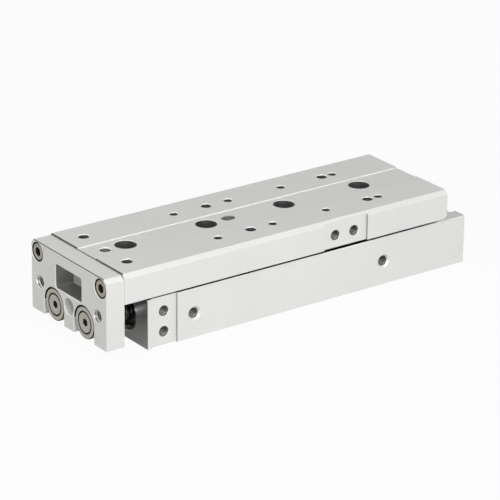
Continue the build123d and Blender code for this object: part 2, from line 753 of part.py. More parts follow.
def make_head_bumper(sign):
    """The soft disc on one head cap that the piston stops against when the table is in."""
    profile = [(cap_front, 0), (cap_front, piston_hub_diameter / 2),
               (cap_front + bumper_thickness, piston_hub_diameter / 2), (cap_front + bumper_thickness, 0)]
    return turned(profile, sign * bore_offset, bore_height)


def make_rod_bumper(sign):
    """The soft ring on one gland's nose that the piston stops against when the table is out."""
    rear = gland_nose_end - bumper_thickness
    inner = rod_diameter / 2 + stop_clearance
    return make_ring(rear, gland_nose_end, inner, bore_radius - seal_running_clearance, sign)


def make_bush(sign):
    """One floating bush: a head in the plate's wide slot and a neck through the narrow one."""
    hole = m5_clearance_hole / 2
    head = bush_diameter / 2
    neck = bush_neck_diameter / 2
    recess = bush_recess_diameter / 2
    recess_floor = bush_front - bush_recess_depth
    edge = tap_chamfer
    profile = [(collar_front, hole), (collar_front, neck), (bush_shoulder, neck), (bush_shoulder, head),
               (bush_front - edge, head), (bush_front, head - edge), (bush_front, recess), (recess_floor, recess),
               (recess_floor, hole)]
    return turned(profile, sign * bore_offset, bore_height)


def make_joint_bolt(sign):
    """The low head bolt that holds one bush, collar and rod together."""
    head = joint_bolt_head_diameter / 2
    shank = m5_thread / 2 - thread_clearance
    seat = bush_front - bush_recess_depth
    tip = rod_front - rod_thread_depth + tap_chamfer
    edge = tap_chamfer
    profile = [(tip, 0), (tip, shank), (seat, shank), (seat, head), (bush_front - edge, head),
               (bush_front, head - edge), (bush_front, 0)]
    y = sign * bore_offset
    bolt = turned(profile, y, bore_height)
    ring = Cone(joint_bolt_key / 2, joint_bolt_ring_diameter / 2, joint_bolt_ring_depth,
                align=(Align.CENTER, Align.CENTER, Align.MAX))
    cut = ring + hex_socket(joint_bolt_key, joint_bolt_key_depth)
    return bolt - Pos(bush_front, y, bore_height) * Rot(0, 90, 0) * cut


def make_port_plugs():
    """The two plugs that close the ports on the right side."""
    plug = Cylinder(m5_thread / 2 - thread_clearance, port_depth - 2 * port_chamfer,
                    align=(Align.CENTER, Align.CENTER, Align.MAX))
    plug -= hex_socket(m3_key, plug_key_depth)
    return Compound(children=[Pos(x, -body_side + port_chamfer, port_height) * Rot(90, 0, 0) * plug
                              for x in (front_port, rear_port)])


def make_plate_screws():
    """The two screws that hold the end plate on the table."""
    seat = plate_front - m5_head_height - head_clearance
    length = seat - plate_back + plate_screw_engagement
    screw = cap_screw(m5_thread, length, m5_head_diameter, m5_head_height, m5_key)
    return Compound(children=[Pos(seat, sign * plate_screw_line, plate_screw_height) * Rot(0, 90, 0) * screw
                              for sign in side_signs.values()])


def make_guide_screws():
    """The screws that hold the guide rail on the body."""
    seat = guide_rail_top - m4_head_height - head_clearance
    screw = cap_screw(m4_thread, seat - channel_floor + guide_screw_engagement, m4_head_diameter, m4_head_height,
                      m4_key)
    return Compound(children=[Pos(x, 0, seat) * screw for x in guide_screw_places])


def make_outer_screws(sign):
    """The screws that hold one outer rail up in the table."""
    seat = outer_rail_bottom + m3_head_height + head_clearance
    screw = cap_screw(m3_thread, ceiling_height - seat + outer_screw_engagement, m3_head_diameter, m3_head_height,
                      m3_key)
    return Compound(children=[Pos(x, sign * outer_screw_line, seat) * Rot(180, 0, 0) * screw
                              for x in outer_screw_places])


# Fixed pieces shared by both cylinders
parts["body"] = make_body()
parts["guide_rail"] = make_guide_rail()
parts["guide_rail_screws"] = make_guide_screws()
parts["front_cage_stop"] = make_front_stop()
parts["front_cage_stop_screws"] = Compound(children=[
    stop_screw(guide_rail_front + stop_plate_thickness, y, z, 1) for y, z in stop_screw_points_front()])
parts["port_plugs"] = make_port_plugs()

# Sliding pieces shared by both cylinders
parts["table"] = make_table()
parts["end_plate"] = make_end_plate()
parts["end_plate_screws"] = make_plate_screws()
parts["rear_cage_stops"] = Compound(children=[make_rear_stop(sign) for sign in side_signs.values()])
parts["rear_cage_stop_screws"] = Compound(children=[
    stop_screw(outer_rail_rear - stop_plate_thickness, y, z, -1)
    for sign in side_signs.values() for y, z in stop_screw_points_rear(sign)])

# Pieces that each side has
seal_groove, magnet_groove = piston_grooves()
for side, sign in side_signs.items():
    # Guide
    parts[f"outer_rail_{side}"] = make_outer_rail(sign)
    parts[f"outer_rail_screws_{side}"] = make_outer_screws(sign)
    parts[f"roller_cage_{side}"] = make_cage(sign)
    parts[f"rollers_{side}"] = make_rollers(sign)
    # Rod, piston and what they carry
    parts[f"piston_rod_{side}"] = make_rod(sign)
    parts[f"piston_{side}"] = make_piston(sign)
    parts[f"piston_screw_{side}"] = make_piston_screw(sign)
    parts[f"piston_seal_{side}"] = make_ring(seal_groove[0] + thread_clearance, seal_groove[1] - thread_clearance,
                                             bore_radius - seal_depth, bore_radius - seal_running_clearance, sign)
    parts[f"piston_magnet_{side}"] = make_ring(magnet_groove[0], magnet_groove[1], bore_radius - magnet_depth,
                                               bore_radius - 2 * piston_clearance, sign)
    parts[f"joint_collar_{side}"] = make_ring(rod_front, collar_front, m5_clearance_hole / 2, collar_diameter / 2,
                                              sign)
    parts[f"floating_bush_{side}"] = make_bush(sign)
    parts[f"joint_bolt_{side}"] = make_joint_bolt(sign)
    # Gland at the front of the bore
    parts[f"rod_gland_{side}"] = make_gland(sign)
    parts[f"rod_seal_{side}"] = make_rod_seal(sign)
    parts[f"gland_o_ring_{side}"] = make_o_ring(gland_ring_rear, gland_seat_diameter / 2, sign)
    parts[f"gland_circlip_{side}"] = make_circlip(body_front - circlip_setback - circlip_thickness,
                                                  gland_seat_diameter / 2, sign)
    parts[f"rod_bumper_{side}"] = make_rod_bumper(sign)
    # Cap at the rear of the bore
    parts[f"head_cap_{side}"] = make_head_cap(sign)
    parts[f"head_o_ring_{side}"] = make_o_ring(cap_ring_rear, bore_radius, sign)
    parts[f"head_circlip_{side}"] = make_circlip(body_rear + circlip_setback, bore_radius, sign)
    parts[f"head_bumper_{side}"] = make_head_bumper(sign)

os.makedirs("parts", exist_ok=True)
for name, shape in parts.items():
    export_step(shape, f"parts/{name}.step")
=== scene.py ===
"""Looks of a twin-rod air slide table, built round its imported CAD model.

Every size is in millimetres where its name or comment says so, and in metres where it reaches Blender. The frame is
the CAD model's: +X is the way the table extends, +Y the side with the open ports, +Z up, and Z 0 the underside.
"""

import json
import logging
import math
from collections.abc import Mapping, Sequence
from dataclasses import dataclass
from enum import Enum
from typing import Any

import bmesh
import bpy
import numpy as np
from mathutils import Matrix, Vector

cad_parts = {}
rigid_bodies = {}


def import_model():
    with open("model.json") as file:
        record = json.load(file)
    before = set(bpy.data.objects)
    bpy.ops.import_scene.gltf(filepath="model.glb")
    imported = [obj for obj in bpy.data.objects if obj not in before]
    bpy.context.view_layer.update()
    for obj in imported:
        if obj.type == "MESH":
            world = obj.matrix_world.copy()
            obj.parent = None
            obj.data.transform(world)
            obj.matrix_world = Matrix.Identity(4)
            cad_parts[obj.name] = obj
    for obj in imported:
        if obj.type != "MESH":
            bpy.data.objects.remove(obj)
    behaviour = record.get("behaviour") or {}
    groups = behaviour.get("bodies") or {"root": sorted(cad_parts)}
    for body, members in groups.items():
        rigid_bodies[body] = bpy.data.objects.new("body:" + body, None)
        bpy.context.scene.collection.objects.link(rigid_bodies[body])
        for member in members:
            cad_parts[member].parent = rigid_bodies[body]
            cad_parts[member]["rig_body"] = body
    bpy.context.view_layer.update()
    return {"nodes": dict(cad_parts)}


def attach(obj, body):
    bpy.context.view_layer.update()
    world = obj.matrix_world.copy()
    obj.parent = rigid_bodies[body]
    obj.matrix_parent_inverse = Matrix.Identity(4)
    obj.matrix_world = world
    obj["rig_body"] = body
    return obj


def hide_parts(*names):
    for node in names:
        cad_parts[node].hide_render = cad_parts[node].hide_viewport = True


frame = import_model()

MM = 0.001
SIDES = {"left": 1.0, "right": -1.0}
log = logging.getLogger("slide_table")

# The size in millimetres of the slow changes that thick and thin spots of a coating or skin make
CLOUD_SIZE = 25.0
# Noise rarely leaves this range, so it is spread over the whole change of shade and gloss
NOISE_RANGE = (0.3, 0.7)
# Grinding draws its marks out along X, to fifty times their width
GROUND_STRETCH, EVEN_STRETCH = (0.02, 1.0, 1.0), (1.0, 1.0, 1.0)

# A thread's ridge: its points in a turn; how far its root is sunk in the wall and how deep in the mouth it may begin,
# in millimetres; its height, its start below the chamfer and its end above the hole's end, as shares of the pitch;
# and the share of its height that it rises in a turn, and has at least
RIDGE_STEPS = 40
RIDGE_SUNK, MOUTH_LIP = 0.03, 0.02
RIDGE_HEIGHT, RIDGE_START, RIDGE_END = 0.5413, 0.2, 0.55
RIDGE_RISE, RIDGE_LEAST = 3.0, 0.04

# How far past a region's outline a face still counts as inside it, in millimetres
REGION_MARGIN = 0.03
# Half the thickness of a region that holds one flat face, in millimetres
THIN = 0.05
# Half a width that reaches past both sides of the part, in millimetres
PAST_SIDES = 32.0
# The cosines by which a region's faces may lean: walls alone, slopes too, and faces that look any way
WALLS, SLOPES, ANY_FACE = 0.3, 0.9, 2.0

# In a machined copy, points nearer than this in millimetres are merged, faces flatter to each other than this in
# degrees are joined, and edges sharper than this in degrees are broken
MERGE_DISTANCE, FLAT_ANGLE, SHARP_ANGLE = 0.0005, 0.2, 30.0
# Two places nearer than this are the same, and an edge this near the top is a top edge, both in millimetres
SAME_PLACE, TOP_REACH = 0.01, 0.6


def linear(colour: str) -> tuple[float, float, float, float]:
    """Turns an sRGB hex colour to the linear values that shaders use.

    Args:
        colour: Six hex digits, such as "C3C3C1".

    Returns:
        Red, green and blue, each 0 to 1, and an alpha of 1.
    """
    values = np.array([int(colour[i:i + 2], 16) for i in (0, 2, 4)]) / 255.0
    low, high = values / 12.92, ((values + 0.055) / 1.055) ** 2.4
    red, green, blue = np.where(values <= 0.04045, low, high)
    return float(red), float(green), float(blue), 1.0


def add(tree: bpy.types.NodeTree, kind: str, inputs: Mapping[Any, Any] | None = None,
        **settings: Any) -> bpy.types.Node:
    """Adds a node to a tree with its settings and its inputs.

    Args:
        tree: The node tree of a material or of the world.
        kind: Blender's name for the node type.
        inputs: For each input, by name or number, a value or the output that is linked to it.
        **settings: The node's own properties.

    Returns:
        The new node.
    """
    node = tree.nodes.new(kind)
    for name, value in settings.items():
        setattr(node, name, value)
    for name, value in (inputs or {}).items():
        if isinstance(value, bpy.types.NodeSocket):
            tree.links.new(value, node.inputs[name])
        else:
            node.inputs[name].default_value = value
    return node


class Marks(Enum):
    """How a surface was made, which sets the fine marks on it."""

    BLASTED = "an even grain, the same in every direction"
    GROUND = "fine straight lines along X"
    TURNED = "fine rings about an axis along X"
    MOULDED = "a soft uneven skin"


@dataclass(frozen=True)
class Finish:
    """One real surface: what it is made of and how it was made.

    Attributes:
        name: The material's name in Blender.
        slot: The record's material slot that it belongs to.
        colour: Its sRGB colour as six hex digits.
        roughness: Its roughness, 0 to 1.
        metallic: 1 for a bare or plated metal, 0 for anything else, and between them for a metal under a film that
            scatters part of the light.
        marks: How the surface was made.
        mark_size: The spacing of its marks, in millimetres.
        mark_depth: The depth of its marks, in millimetres.
        shade_change: The share by which its colour changes from place to place.
        gloss_change: How far its roughness changes from place to place.
        ior: The index of refraction of anything that isn't a metal.
    """

    name: str
    slot: str
    colour: str
    roughness: float
    metallic: float = 1.0
    marks: Marks = Marks.BLASTED
    mark_size: float = 0.5
    mark_depth: float = 0.002
    shade_change: float = 0.03
    gloss_change: float = 0.04
    ior: float = 1.5

    def material(self, axis_y: float = 0.0, axis_z: float = 0.0) -> bpy.types.Material:
        """Makes or finds the material.

        Args:
            axis_y: For turned marks, where the axis stands along Y, in millimetres.
            axis_z: For turned marks, where the axis stands along Z, in millimetres.

        Returns:
            The material, made once for each axis.
        """
        turned = self.marks is Marks.TURNED
        name = f"{self.name}_{axis_y:+.1f}_{axis_z:.1f}" if turned else self.name
        known = bpy.data.materials.get(name)
        if known:
            return known
        made = bpy.data.materials.new(name)
        made.use_nodes = True
        tree = made.node_tree
        tree.nodes.clear()
        place = add(tree, "ShaderNodeTexCoord").outputs["Object"]
        marks = self._mark_height(tree, place, axis_y, axis_z)
        cloud = add(tree, "ShaderNodeTexNoise", {"Vector": place, "Scale": 1.0 / (CLOUD_SIZE * MM), "Detail": 2.0})
        both = add(tree, "ShaderNodeMath", {0: marks, 1: cloud.outputs["Fac"]}, operation="ADD")
        share = add(tree, "ShaderNodeMath", {0: both.outputs[0], 1: 0.5}, operation="MULTIPLY")
        base = np.array(linear(self.colour)[:3])
        ramp = add(tree, "ShaderNodeValToRGB", {"Fac": share.outputs[0]})
        for element, position, change in zip(ramp.color_ramp.elements, NOISE_RANGE, (-1.0, 1.0)):
            element.position = position
            element.color = (*np.minimum(base * (1.0 + change * self.shade_change), 1.0), 1.0)
        rough = add(tree, "ShaderNodeMapRange", {
            "Value": share.outputs[0], "From Min": NOISE_RANGE[0], "From Max": NOISE_RANGE[1],
            "To Min": self.roughness - self.gloss_change, "To Max": self.roughness + self.gloss_change})
        bump = add(tree, "ShaderNodeBump", {"Height": marks, "Strength": 1.0, "Distance": self.mark_depth * MM})
        shader = add(tree, "ShaderNodeBsdfPrincipled", {
            "Base Color": ramp.outputs["Color"], "Metallic": self.metallic, "Roughness": rough.outputs["Result"],
            "Normal": bump.outputs["Normal"]})
        if self.metallic < 1.0:
            shader.inputs["IOR"].default_value = self.ior
        add(tree, "ShaderNodeOutputMaterial", {"Surface": shader.outputs[0]})
        return made

    def _mark_height(self, tree: bpy.types.NodeTree, place: bpy.types.NodeSocket, axis_y: float,
                     axis_z: float) -> bpy.types.NodeSocket:
        """Adds the nodes of the surface's marks.

        Args:
            tree: The material's node tree.
            place: The output that gives a point's place on the object, in metres.
            axis_y: For turned marks, where the axis stands along Y, in millimetres.
            axis_z: For turned marks, where the axis stands along Z, in millimetres.

        Returns:
            The output that gives the marks' height, 0 to 1.
        """
        per_metre = 1.0 / (self.mark_size * MM)
        if self.marks is Marks.TURNED:
            centred = add(tree, "ShaderNodeMapping", {
                "Vector": place, "Location": (0.0, -axis_y * MM, -axis_z * MM)})
            rings = add(tree, "ShaderNodeTexWave", {
                "Vector": centred.outputs[0], "Scale": per_metre / math.tau, "Distortion": 0.6, "Detail": 2.0,
                "Detail Scale": 2.0}, wave_type="RINGS", rings_direction="X")
            return rings.outputs["Fac"]
        stretch = GROUND_STRETCH if self.marks is Marks.GROUND else EVEN_STRETCH
        mapped = add(tree, "ShaderNodeMapping", {"Vector": place, "Scale": stretch})
        grain = add(tree, "ShaderNodeTexNoise", {
            "Vector": mapped.outputs[0], "Scale": per_metre, "Detail": 3.0, "Roughness": 0.6})
        return grain.outputs["Fac"]


# Bead-blasted and clear-anodised aluminium: satin, pale grey and even. Its film scatters about half of the light, so
# it stays pale from every side. The beads leave pits of 0.1 mm or so, too fine to show and drawn at 0.5 mm.
ANODISED = Finish("bead_blasted_clear_anodised_aluminium", "anodised_aluminium", "DADAD8", 0.62, 0.5, mark_size=0.5,
                  mark_depth=0.004, shade_change=0.015)
# The same aluminium where a drill, reamer or cutter finished it after blasting: smoother, so that it shows the dark
# inside of its own hole.
BORED = Finish("bored_clear_anodised_aluminium", "anodised_aluminium", "D6D6D4", 0.34, mark_size=0.4,
               mark_depth=0.001, shade_change=0.03)
# The same aluminium along an edge that was broken by hand. Its dark colour is painted shade, which draws the edge as
# a dark line.
EDGE = Finish("grimy_broken_edge", "anodised_aluminium", "5C5C5A", 0.5, mark_size=0.4, mark_depth=0.004,
              shade_change=0.15)
# The same aluminium where a tap or its countersink cut through the film. Its dark colour is painted shade inside the
# holes.
TAPPED = Finish("oily_tapped_aluminium", "anodised_aluminium", "6E6E6C", 0.42, mark_size=0.4, mark_depth=0.002,
                shade_change=0.05)
# The same aluminium ground flat where two parts face each other across a thin gap: bare and smooth, so that the gap
# stays dark.
GROUND_FLAT = Finish("ground_aluminium", "anodised_aluminium", "CACAC8", 0.14, marks=Marks.GROUND, mark_size=0.4,
                     mark_depth=0.0005, shade_change=0.05)
# The same aluminium on a step or on the body's front end, where a cutter left it smoother. Its colour, a little
# darker than the blasted sides, is painted shade.
MILLED = Finish("milled_aluminium", "anodised_aluminium", "ACACAA", 0.3, mark_size=0.4, mark_depth=0.001)
# The same aluminium on the wall of a drilled hole.
DRILLED = Finish("drilled_aluminium", "anodised_aluminium", "C6C6C4", 0.32, mark_size=0.4, mark_depth=0.001)
# Painted shade in the narrow gap round a head or a bush and on the rims beside it: brownish and nearly black.
DARK_PAINTED_SHADE = Finish("oily_seat_wall", "anodised_aluminium", "3A342B", 0.45, mark_size=0.5, shade_change=0.2)
# The socket of a screw. Its dark colour is painted shade in the recess.
SOCKET = Finish("oily_screw_socket", "plated_screw", "6B5F50", 0.4, mark_size=0.6, shade_change=0.1)
# Black anodised aluminium: the same blasting under a dyed coating.
BLACK_ANODISED = Finish("black_anodised_aluminium", "black_anodised_aluminium", "3A3A3B", 0.42, mark_size=0.5,
                        mark_depth=0.004, shade_change=0.05)
PISTON_ALUMINIUM = Finish("turned_aluminium", "piston_aluminium", "D0D0CE", 0.3, marks=Marks.TURNED, mark_size=0.4)
BEARING_STEEL = Finish("ground_bearing_steel", "bearing_steel", "B4B5B6", 0.2, marks=Marks.GROUND, mark_size=0.4)
STAINLESS = Finish("turned_stainless_steel", "stainless_steel", "D4D2C8", 0.34, marks=Marks.TURNED, mark_size=0.5)
CHROME = Finish("hard_chrome_plate", "hard_chrome", "C9CCD0", 0.08, marks=Marks.GROUND, mark_size=0.3,
                mark_depth=0.0003, gloss_change=0.01)
PLATED = Finish("nickel_plated_steel", "plated_screw", "C9C2B8", 0.3, mark_size=0.8, mark_depth=0.001)
BLACK_OXIDE = Finish("black_oxide_steel", "black_oxide_screw", "3A3733", 0.36, mark_size=0.6, mark_depth=0.002,
                     shade_change=0.1)
SPRING_STEEL = Finish("phosphated_spring_steel", "spring_steel", "8A867C", 0.35, mark_size=0.6, shade_change=0.1)
FERRITE = Finish("sintered_ferrite", "ferrite_magnet", "3B3B3D", 0.6, metallic=0.0, mark_size=0.3, ior=2.2)
NITRILE = Finish("moulded_nitrile_rubber", "nitrile_rubber", "1E1E1F", 0.6, metallic=0.0, marks=Marks.MOULDED,
                 mark_size=0.8, shade_change=0.1, ior=1.52)
URETHANE = Finish("cast_urethane", "urethane", "8A6A35", 0.4, metallic=0.0, marks=Marks.MOULDED, mark_size=1.0,
                  ior=1.5)
BLACK_ACETAL = Finish("moulded_black_acetal", "black_acetal", "202021", 0.45, metallic=0.0, marks=Marks.MOULDED,
                      mark_size=0.8, shade_change=0.08, ior=1.48)
NATURAL_ACETAL = Finish("moulded_natural_acetal", "natural_acetal", "E6E3DA", 0.4, metallic=0.0, marks=Marks.MOULDED,
                        mark_size=1.0, ior=1.48)
FINISHES = {finish.slot: finish for finish in (
    ANODISED, BLACK_ANODISED, PISTON_ALUMINIUM, BEARING_STEEL, STAINLESS, CHROME, PLATED, BLACK_OXIDE, SPRING_STEEL,
    FERRITE, NITRILE, URETHANE, BLACK_ACETAL, NATURAL_ACETAL)}


def piece(name: str, body: str, finish: Finish, points: np.ndarray, faces: np.ndarray) -> bpy.types.Object:
    """Makes a closed mesh piece from points and faces, and lets it ride on a body.

    Args:
        name: The piece's name.
        body: The CAD body that it moves with.
        finish: Its surface.
        points: Its points in metres, one row each.
        faces: Its faces, as rows of point numbers. They are turned outwards here.

    Returns:
        The new object.
    """
    mesh = bpy.data.meshes.new(name)
    mesh.from_pydata(points, [], faces)
    work = bmesh.new()
    work.from_mesh(mesh)
    bmesh.ops.recalc_face_normals(work, faces=work.faces)
    work.to_mesh(mesh)
    work.free()
    mesh.materials.append(finish.material())
    made = bpy.data.objects.new(name, mesh)
    bpy.context.scene.collection.objects.link(made)
    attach(made, body)
    log.info("%s: %d faces on %s", name, len(mesh.polygons), body)
    return made


@dataclass(frozen=True)
class Thread:
    """A metric thread: its nominal diameter and pitch in millimetres."""

    diameter: float
    pitch: float


M4 = Thread(4.0, 0.7)
M5 = Thread(5.0, 0.8)
M6 = Thread(6.0, 1.0)


@dataclass(frozen=True)
class TappedHole:
    """The thread cut in one hole.

    Attributes:
        thread: Its thread.
        mouth: The centre of the hole's mouth, in millimetres.
        inwards: The unit direction into the hole.
        depth: How deep the thread goes, in millimetres.
        chamfer: The depth of the mouth's chamfer, in millimetres.
    """

    thread: Thread
    mouth: tuple[float, float, float]
    inwards: tuple[float, float, float]
    depth: float
    chamfer: float = 0.25

    def ridge(self) -> tuple[np.ndarray, np.ndarray]:
        """Works out the ridge that the tap leaves standing in the hole.

        A four-sided outline is carried along a right-handed helix. Its root is seven eighths of a pitch wide, just
        outside the nominal radius, and its crest a quarter of a pitch wide, 0.54 pitches further in. A point's angle
        falls by a full turn for each pitch of depth, and the crest rises from nothing over the first third of a turn
        and sinks again over the last.

        Returns:
            The points in metres and the faces.
        """
        pitch, radius = self.thread.pitch, self.thread.diameter / 2
        start, end = self.chamfer + pitch * RIDGE_START, self.depth - pitch * RIDGE_END
        count = int(round((end - start) / pitch * RIDGE_STEPS)) + 1
        turn = np.linspace(0.0, (end - start) / pitch, count)
        height = np.clip(np.minimum(turn, turn[-1] - turn) * RIDGE_RISE, RIDGE_LEAST, 1.0) * RIDGE_HEIGHT * pitch
        half_root, half_crest = pitch * 7 / 16, pitch / 8
        along = start + turn[:, None] * pitch + np.array([-half_root, -half_crest, half_crest, half_root])
        root = np.full(count, RIDGE_SUNK)
        out = radius + np.stack([root, -height, -height, root], axis=1)
        angle = -math.tau * turn[:, None]
        axis = np.array(self.inwards)
        first = np.array(Vector(self.inwards).orthogonal().normalized())
        second = np.cross(-axis, first)
        ring = np.cos(angle)[..., None] * first + np.sin(angle)[..., None] * second
        along = np.clip(along, MOUTH_LIP, self.depth)
        points = np.array(self.mouth) + along[..., None] * axis + out[..., None] * ring
        row, column = np.meshgrid(np.arange(count - 1), np.arange(4), indexing="ij")
        next_column = (column + 1) % 4
        sides = np.stack([row * 4 + column, row * 4 + next_column, (row + 1) * 4 + next_column,
                          (row + 1) * 4 + column], axis=-1).reshape(-1, 4)
        ends = np.array([[3, 2, 1, 0], [0, 1, 2, 3]]) + np.array([[0], [(count - 1) * 4]])
        return points.reshape(-1, 3) * MM, np.concatenate([sides, ends])


def threads(name: str, body: str, finish: Finish, holes: Sequence[TappedHole]) -> bpy.types.Object:
    """Makes one piece of the ridges of several tapped holes.

    Args:
        name: The piece's name.
        body: The CAD body that it moves with.
        finish: The surface of the part that the holes are tapped in.
        holes: The holes.

    Returns:
        The new object.
    """
    points, faces, base = [], [], 0
    for hole in holes:
        hole_points, hole_faces = hole.ridge()
        points.append(hole_points)
        faces.append(hole_faces + base)
        base += len(hole_points)
    return piece(name, body, finish, np.concatenate(points), np.concatenate(faces))


def dress(node: str, axis_y: float = 0.0, axis_z: float = 0.0) -> None:
    """Gives a CAD node the finish of its material slot.

    Args:
        node: The node's name.
        axis_y: For a turned node, where its axis stands along Y, in millimetres.
        axis_z: For a turned node, where its axis stands along Z, in millimetres.
    """
    part = frame["nodes"][node]
    slot = part.material_slots[0].material.name.split(".")[0]
    finish = FINISHES[slot]
    part.material_slots[0].material = finish.material(axis_y, axis_z)
    log.info("%s: %s", node, finish.name)


@dataclass(frozen=True)
class Region:
    """A stretch of a piece's surface that takes a finish of its own, such as the wall of a hole.

    Attributes:
        along: The axis that it runs along: 0, 1 or 2.
        place: Its middle, in millimetres.
        reach: Half its size along each of the three axes, in millimetres.
        square: Whether it has straight sides and corners.
        finish: Its finish.
        core: The radius of the part round its axis that is left out, in millimetres.
        lean: How far its faces may turn towards its axis, as a cosine.
    """

    along: int
    place: tuple[float, float, float]
    reach: tuple[float, float, float]
    square: bool = False
    finish: Finish = BORED
    core: float = 0.0
    lean: float = WALLS

    def holds(self, centres: np.ndarray, normals: np.ndarray) -> np.ndarray:
        """Finds the faces that lie within its outline and length and don't lean too far.

        Args:
            centres: The faces' centres in metres, one row each.
            normals: The faces' directions, one row each.

        Returns:
            One truth value for each face.
        """
        offset = np.abs(centres / MM - np.array(self.place))
        share = offset / (np.array(self.reach) + REGION_MARGIN)
        across = np.delete(share, self.along, axis=1)
        inside = (across.max(axis=1) if self.square else np.hypot(across[:, 0], across[:, 1])) < 1.0
        outside_core = np.hypot(*np.delete(offset, self.along, axis=1).T) >= self.core
        return (inside & outside_core & (share[:, self.along] < 1.0)
                & (np.abs(normals[:, self.along]) < self.lean))


def round_region(along: int, place: tuple[float, float, float], radius: float, length: float,
                 **more: Any) -> Region:
    """Describes a round region, such as the wall of a drilled hole.

    Args:
        along: The axis that it runs along: 0, 1 or 2.
        place: The middle of its length, in millimetres.
        radius: Its radius.
        length: Its length.
        **more: The region's finish, core or lean.

    Returns:
        The region.
    """
    reach = [radius, radius, radius]
    reach[along] = length / 2
    return Region(along, place, (reach[0], reach[1], reach[2]), **more)


def rows_of(items: bpy.types.bpy_prop_collection, name: str) -> np.ndarray:
    """Reads a property of three numbers from all vertices or all faces of a mesh.

    Args:
        items: The mesh's vertices or faces.
        name: The property's name.

    Returns:
        The values, one row for each item.
    """
    values = np.empty(len(items) * 3)
    items.foreach_get(name, values)
    return values.reshape(-1, 3)


@dataclass
class MachinedCopy:
    """A finer copy that stands for a CAD node, with its sharp edges broken.

    Attributes:
        node: The node's name.
        edge: The width of its broken edges, in millimetres.
        regions: The stretches of its surface that take a finish of their own. A later one wins over an earlier one.
        drawn_edge: The width of the broken edge between the faces that look forwards and up, in millimetres. It takes
        the broken edge's finish, whose dark colour is painted shade.
        rims: Where the rims of openings in its front are cut wider than its other edges.
        rim_width: The width of those rims, in millimetres.
        edge_finish: The finish of its broken edges, if it isn't that of the faces beside them.
        axis: For a turned node, where its axis stands along Y and Z, in millimetres.
    """

    node: str
    edge: float
    regions: Sequence[Region] = ()
    drawn_edge: float = 0.0
    rims: Sequence[Region] = ()
    rim_width: float = 0.0
    edge_finish: Finish | None = None
    axis: tuple[float, float] = (0.0, 0.0)

    def build(self) -> None:
        """Makes the copy, dresses it and puts it in the node's place."""
        part = frame["nodes"][self.node]
        slot = part.material_slots[0].material.name.split(".")[0]
        finishes = self._finishes(FINISHES[slot])
        mesh = self._joined_mesh(part)
        for finish in finishes:
            mesh.materials.append(finish.material(*self.axis))
        centres, normals = rows_of(mesh.polygons, "center"), rows_of(mesh.polygons, "normal")
        index = np.zeros(len(centres), dtype=np.int32)
        for region in self.regions:
            index[region.holds(centres, normals)] = finishes.index(region.finish)
        mesh.polygons.foreach_set("material_index", index)
        made = bpy.data.objects.new(mesh.name, mesh)
        bpy.context.scene.collection.objects.link(made)
        self._cut_front_edges(made, finishes)
        self._break_edges(made, finishes)
        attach(made, part["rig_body"])
        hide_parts(self.node)
        log.info("%s: %d faces", made.name, len(mesh.polygons))

    def _finishes(self, main: Finish) -> list[Finish]:
        """Lists the copy's finishes.

        Args:
            main: The finish of most of its faces.

        Returns:
            That finish, the painted shade of the broken edges, then the others by name.
        """
        others = {region.finish for region in self.regions} | ({self.edge_finish} if self.edge_finish else set())
        return [main, EDGE] + sorted(others - {main, EDGE}, key=lambda finish: finish.name)

    def _joined_mesh(self, part: bpy.types.Object) -> bpy.types.Mesh:
        """Copies the node's loose triangles, merges their points and joins its flat faces.

        Args:
            part: The CAD node.

        Returns:
            The new mesh.
        """
        mesh = bpy.data.meshes.new(f"{self.node}_machined")
        work = bmesh.new()
        work.from_mesh(part.data)
        bmesh.ops.remove_doubles(work, verts=work.verts, dist=MERGE_DISTANCE * MM)
        bmesh.ops.dissolve_limit(work, angle_limit=math.radians(FLAT_ANGLE), verts=work.verts, edges=work.edges)
        bmesh.ops.recalc_face_normals(work, faces=work.faces)
        work.to_mesh(mesh)
        work.free()
        mesh.shade_smooth()
        return mesh

    def _cut_front_edges(self, made: bpy.types.Object, finishes: list[Finish]) -> None:
        """Cuts the drawn edge and the rims, whose edges are marked by an attribute each.

        Args:
            made: The copy.
            finishes: The finishes in its material slots.
        """
        mesh = made.data
        points = rows_of(mesh.vertices, "co")
        pairs = np.empty(len(mesh.edges) * 2, dtype=np.int32)
        mesh.edges.foreach_get("vertices", pairs)
        ends = points[pairs.reshape(-1, 2)]
        high = points.max(axis=0)
        at_front = (np.abs(ends[:, :, 0] - high[0]) < SAME_PLACE * MM).all(axis=1)
        level = np.abs(ends[:, 0, 2] - ends[:, 1, 2]) < SAME_PLACE * MM
        at_top = (high[2] - ends[:, :, 2] < TOP_REACH * MM).all(axis=1) & level
        middles = ends.mean(axis=1)
        in_rims = np.zeros(len(middles), dtype=bool)
        for rim in self.rims:
            in_rims |= rim.holds(middles, np.zeros_like(middles))
        # The drawn edge takes the broken edge's finish, whose dark colour is painted shade.
        for name, width, marked, finish in (("drawn_edge", self.drawn_edge, at_front & at_top, EDGE),
                                            ("rims", self.rim_width, at_front & in_rims, finishes[0])):
            if not width:
                continue
            mesh.attributes.new(name, "FLOAT", "EDGE").data.foreach_set("value", marked.astype(np.float32))
            cut = made.modifiers.new(name, "BEVEL")
            cut.width = width * MM
            cut.segments = 1
            cut.limit_method = "WEIGHT"
            cut.edge_weight = name
            # The clamp would narrow every one of these edges to what the tightest spot allows
            cut.use_clamp_overlap = False
            cut.material = finishes.index(finish)
            log.info("%s: %d edges cut as %s", made.name, int(marked.sum()), name)

    def _break_edges(self, made: bpy.types.Object, finishes: list[Finish]) -> None:
        """Breaks the copy's sharp edges and keeps its flat faces flat to the eye.

        Args:
            made: The copy.
            finishes: The finishes in its material slots.
        """
        bevel = made.modifiers.new("broken_edges", "BEVEL")
        bevel.width = self.edge * MM
        bevel.segments = 2
        bevel.limit_method = "ANGLE"
        bevel.angle_limit = math.radians(SHARP_ANGLE)
        if self.edge_finish:
            bevel.material = finishes.index(self.edge_finish)
        made.modifiers.new("flat_faces", "WEIGHTED_NORMAL").weight = 100


